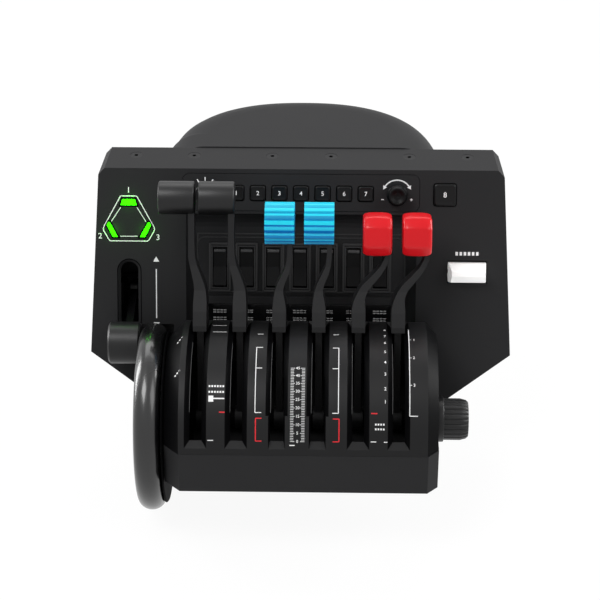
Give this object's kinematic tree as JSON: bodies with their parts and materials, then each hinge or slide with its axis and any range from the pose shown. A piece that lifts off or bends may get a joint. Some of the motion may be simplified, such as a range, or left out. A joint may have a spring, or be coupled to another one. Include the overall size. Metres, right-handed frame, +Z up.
{
  "type": "throttle quadrant",
  "caption": "Desk-clamped throttle quadrant: levers in a slotted drum, trim wheel, friction knob and a leaning panel with keys, knobs, rockers, gear lever and flap paddle.",
  "frame": {"origin": "on the underside of the front rubber pad, midway between the two clamp inserts", "axes": "+Z up, +X to the right as the user sees it, +Y away from the user"},
  "size_m": [0.3402, 0.3261, 0.2561],
  "materials": {
    "body_plastic": "fine-textured moulded black",
    "arm_black": "smooth satin black",
    "knob_plastic": "satin black",
    "key_plastic": "smooth black",
    "handle_black": "satin black",
    "handle_blue": "smooth cyan blue",
    "handle_red": "smooth red",
    "paddle_white": "smooth white",
    "wheel_gloss": "polished black",
    "lens_black": "smoked gloss window",
    "lens_green": "lit green lens",
    "dark_steel": "black-oxide screws and bushes",
    "shaft_steel": "turned shaft",
    "bracket_steel": "pressed bracket",
    "insert_brass": "threaded insert",
    "rubber_black": "matt pad",
    "board_green": "circuit board laminate",
    "inlet_metal": "plated receptacle shell"
  },
  "bodies": {
    "housing": {"base_shell": "body_plastic", "base_plate": "body_plastic", "rubber_pads": "rubber_black", "base_screws": "dark_steel", "clamp_inserts": "insert_brass", "drum_cover": "body_plastic", "panel_housing": "body_plastic", "top_screws": "dark_steel", "housing_back": "body_plastic", "rear_dome": "body_plastic", "autopilot_plate": "body_plastic", "knob_bushes": "dark_steel", "annunciator_lens": "lens_black", "rocker_bezels": "body_plastic", "gear_indicator": "body_plastic", "gear_lenses": "lens_green", "gear_bracket": "bracket_steel", "flap_bracket": "body_plastic", "lever_shaft": "shaft_steel", "shaft_spacers": "arm_black", "shaft_post": "body_plastic", "wheel_side_disc": "body_plastic", "circuit_board": "board_green", "usb_inlet": "inlet_metal"},
    "lever_1": {"lever_arm_1": "arm_black", "handle_1": "handle_black"},
    "lever_2": {"lever_arm_2": "arm_black", "handle_2": "handle_black"},
    "lever_3": {"lever_arm_3": "arm_black", "handle_3": "handle_blue"},
    "lever_4": {"lever_arm_4": "arm_black", "handle_4": "handle_blue"},
    "lever_5": {"lever_arm_5": "arm_black", "handle_5": "handle_red"},
    "lever_6": {"lever_arm_6": "arm_black", "handle_6": "handle_red"},
    "trim_wheel": {"trim_wheel_rim": "wheel_gloss", "trim_wheel_hub": "body_plastic", "trim_shaft": "shaft_steel"},
    "friction_knob_body": {"friction_knob": "knob_plastic"},
    "gear_lever": {"gear_arm": "arm_black", "gear_knob": "knob_plastic"},
    "flap_lever": {"flap_paddle": "paddle_white"},
    "selector": {"selector_knob": "knob_plastic"},
    "encoder": {"encoder_knob": "knob_plastic"},
    "key_1_body": {"key_1": "key_plastic"},
    "key_2_body": {"key_2": "key_plastic"},
    "key_3_body": {"key_3": "key_plastic"},
    "key_4_body": {"key_4": "key_plastic"},
    "key_5_body": {"key_5": "key_plastic"},
    "key_6_body": {"key_6": "key_plastic"},
    "key_7_body": {"key_7": "key_plastic"},
    "key_master_body": {"key_master": "key_plastic"},
    "rocker_1_body": {"rocker_1": "key_plastic"},
    "rocker_2_body": {"rocker_2": "key_plastic"},
    "rocker_3_body": {"rocker_3": "key_plastic"},
    "rocker_4_body": {"rocker_4": "key_plastic"},
    "rocker_5_body": {"rocker_5": "key_plastic"},
    "rocker_6_body": {"rocker_6": "key_plastic"},
    "rocker_7_body": {"rocker_7": "key_plastic"}
  },
  "joints": [
    {"name": "lever_1_pivot", "type": "hinge", "parent": "housing", "child": "lever_1", "pos_m": [-0.0775, -0.11, 0.0193], "axis": [1, 0, 0], "range_deg": [0, 74]},
    {"name": "lever_2_pivot", "type": "hinge", "parent": "housing", "child": "lever_2", "pos_m": [-0.0465, -0.11, 0.0193], "axis": [1, 0, 0], "range_deg": [0, 74]},
    {"name": "lever_3_pivot", "type": "hinge", "parent": "housing", "child": "lever_3", "pos_m": [-0.0155, -0.11, 0.0193], "axis": [1, 0, 0], "range_deg": [0, 74]},
    {"name": "lever_4_pivot", "type": "hinge", "parent": "housing", "child": "lever_4", "pos_m": [0.0155, -0.11, 0.0193], "axis": [1, 0, 0], "range_deg": [0, 74]},
    {"name": "lever_5_pivot", "type": "hinge", "parent": "housing", "child": "lever_5", "pos_m": [0.0465, -0.11, 0.0193], "axis": [1, 0, 0], "range_deg": [0, 74]},
    {"name": "lever_6_pivot", "type": "hinge", "parent": "housing", "child": "lever_6", "pos_m": [0.0775, -0.11, 0.0193], "axis": [1, 0, 0], "range_deg": [0, 74]},
    {"name": "trim_wheel_spin", "type": "hinge", "parent": "housing", "child": "trim_wheel", "pos_m": [-0.11575, -0.11, 0.0193], "axis": [1, 0, 0], "continuous": true},
    {"name": "friction_knob_turn", "type": "hinge", "parent": "housing", "child": "friction_knob_body", "pos_m": [0.122, -0.11, 0.0193], "axis": [1, 0, 0], "range_deg": [-135, 135]},
    {"name": "gear_lever_pivot", "type": "hinge", "parent": "housing", "child": "gear_lever", "pos_m": [-0.1383, -0.00588, 0.07617], "axis": [-1, 0, 0], "range_deg": [0, 60]},
    {"name": "flap_paddle_pivot", "type": "hinge", "parent": "housing", "child": "flap_lever", "pos_m": [0.134, -0.0295, 0.10847], "axis": [1, 0, 0], "range_deg": [-10, 10], "stiffness_Nm_per_rad": 0.06},
    {"name": "selector_turn", "type": "hinge", "parent": "housing", "child": "selector", "pos_m": [-0.0768, -0.01625, 0.17064], "axis": [0, -0.9272, 0.3746], "range_deg": [0, 120]},
    {"name": "encoder_turn", "type": "hinge", "parent": "housing", "child": "encoder", "pos_m": [0.0768, -0.01625, 0.17064], "axis": [0, -0.9272, 0.3746], "continuous": true},
    {"name": "key_1_press", "type": "slide", "parent": "housing", "child": "key_1_body", "axis": [0, 0.9272, -0.3746], "range_m": [0, 0.0012], "stiffness_N_per_m": 400, "springref_m": -0.0006},
    {"name": "key_2_press", "type": "slide", "parent": "housing", "child": "key_2_body", "axis": [0, 0.9272, -0.3746], "range_m": [0, 0.0012], "stiffness_N_per_m": 400, "springref_m": -0.0006},
    {"name": "key_3_press", "type": "slide", "parent": "housing", "child": "key_3_body", "axis": [0, 0.9272, -0.3746], "range_m": [0, 0.0012], "stiffness_N_per_m": 400, "springref_m": -0.0006},
    {"name": "key_4_press", "type": "slide", "parent": "housing", "child": "key_4_body", "axis": [0, 0.9272, -0.3746], "range_m": [0, 0.0012], "stiffness_N_per_m": 400, "springref_m": -0.0006},
    {"name": "key_5_press", "type": "slide", "parent": "housing", "child": "key_5_body", "axis": [0, 0.9272, -0.3746], "range_m": [0, 0.0012], "stiffness_N_per_m": 400, "springref_m": -0.0006},
    {"name": "key_6_press", "type": "slide", "parent": "housing", "child": "key_6_body", "axis": [0, 0.9272, -0.3746], "range_m": [0, 0.0012], "stiffness_N_per_m": 400, "springref_m": -0.0006},
    {"name": "key_7_press", "type": "slide", "parent": "housing", "child": "key_7_body", "axis": [0, 0.9272, -0.3746], "range_m": [0, 0.0012], "stiffness_N_per_m": 400, "springref_m": -0.0006},
    {"name": "key_master_press", "type": "slide", "parent": "housing", "child": "key_master_body", "axis": [0, 0.9272, -0.3746], "range_m": [0, 0.0012], "stiffness_N_per_m": 400, "springref_m": -0.0006},
    {"name": "rocker_1_rock", "type": "hinge", "parent": "housing", "child": "rocker_1_body", "pos_m": [-0.0656, -0.02213, 0.10668], "axis": [1, 0, 0], "range_deg": [0, 14]},
    {"name": "rocker_2_rock", "type": "hinge", "parent": "housing", "child": "rocker_2_body", "pos_m": [-0.04395, -0.02213, 0.10668], "axis": [1, 0, 0], "range_deg": [0, 14]},
    {"name": "rocker_3_rock", "type": "hinge", "parent": "housing", "child": "rocker_3_body", "pos_m": [-0.0223, -0.02213, 0.10668], "axis": [1, 0, 0], "range_deg": [0, 14]},
    {"name": "rocker_4_rock", "type": "hinge", "parent": "housing", "child": "rocker_4_body", "pos_m": [-0.00065, -0.02213, 0.10668], "axis": [1, 0, 0], "range_deg": [0, 14]},
    {"name": "rocker_5_rock", "type": "hinge", "parent": "housing", "child": "rocker_5_body", "pos_m": [0.021, -0.02213, 0.10668], "axis": [1, 0, 0], "range_deg": [0, 14]},
    {"name": "rocker_6_rock", "type": "hinge", "parent": "housing", "child": "rocker_6_body", "pos_m": [0.04265, -0.02213, 0.10668], "axis": [1, 0, 0], "range_deg": [0, 14]},
    {"name": "rocker_7_rock", "type": "hinge", "parent": "housing", "child": "rocker_7_body", "pos_m": [0.0643, -0.02213, 0.10668], "axis": [1, 0, 0], "range_deg": [0, 14]}
  ]
}
